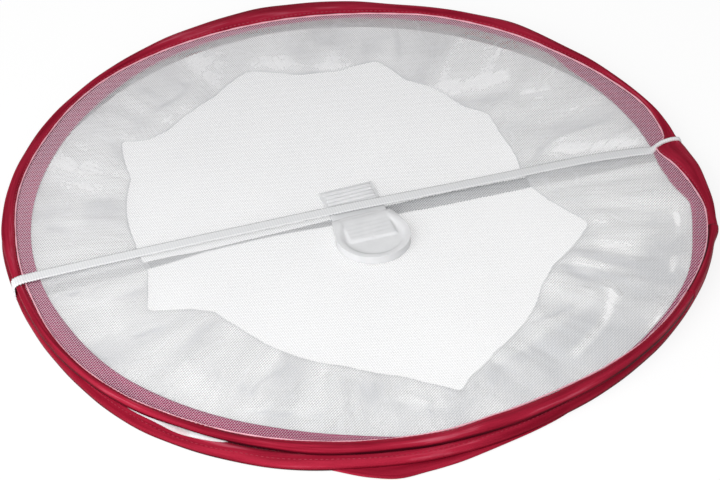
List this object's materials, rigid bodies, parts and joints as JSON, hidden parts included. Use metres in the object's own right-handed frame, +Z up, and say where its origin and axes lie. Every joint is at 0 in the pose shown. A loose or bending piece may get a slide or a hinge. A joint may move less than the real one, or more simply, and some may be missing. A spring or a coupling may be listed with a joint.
{
  "type": "collapsible mesh cover",
  "caption": "Round mesh cover folded flat: wire hoops in cloth bindings, a net top, a sheer wall folded in between them, a ribbed pull tab and an elastic loop round the lot.",
  "frame": {"origin": "on the table under the middle of the hoops: the bottom centre of the folded cover", "axes": "+Z up, +X along the elastic loop, -Y from the middle towards the pull tab's round grip"},
  "size_m": [0.3588, 0.3604, 0.0141],
  "materials": {
    "binding_cloth": "woven polyester tape, faint sheen",
    "spring_wire": "drawn steel wire",
    "crimp_sleeve": "crimped steel tube",
    "net_cloth": "fine white tulle",
    "wall_cloth": "sheer white voile with a soft sheen",
    "elastic": "white knitted elastic",
    "tab_sheet": "clear milky soft sheet"
  },
  "bodies": {
    "lower_hoop": {"lower_hoop_wire": "spring_wire", "lower_hoop_sleeve": "crimp_sleeve", "lower_binding": "binding_cloth", "lower_binding_tail": "binding_cloth", "side_wall": "wall_cloth"},
    "upper_hoop": {"upper_hoop_wire": "spring_wire", "upper_hoop_sleeve": "crimp_sleeve", "upper_binding": "binding_cloth", "upper_binding_lap": "binding_cloth", "top_net": "net_cloth", "tab_strip": "tab_sheet"},
    "pull_tab": {"tab_grip": "tab_sheet"},
    "elastic_loop": {"elastic_band": "elastic", "elastic_join": "elastic"}
  },
  "joints": [
    {"name": "cover_lift", "type": "slide", "parent": "lower_hoop", "child": "upper_hoop", "axis": [0, 0, 1], "range_m": [0, 0.14], "deforming": ["side_wall"]},
    {"name": "tab_lift", "type": "hinge", "parent": "upper_hoop", "child": "pull_tab", "pos_m": [0, -0.0075, 0.0104], "axis": [-1, 0, 0], "range_deg": [0, 90], "stiffness_Nm_per_rad": 0.004},
    {"name": "band_off", "type": "slide", "parent": "lower_hoop", "child": "elastic_loop", "axis": [0, 1, 0], "range_m": [0, 0.2], "deforming": ["elastic_band", "elastic_join"]}
  ],
  "couplings": [
    {"joint": "band_off", "follows": "cover_lift", "ratio": 1.42}
  ]
}
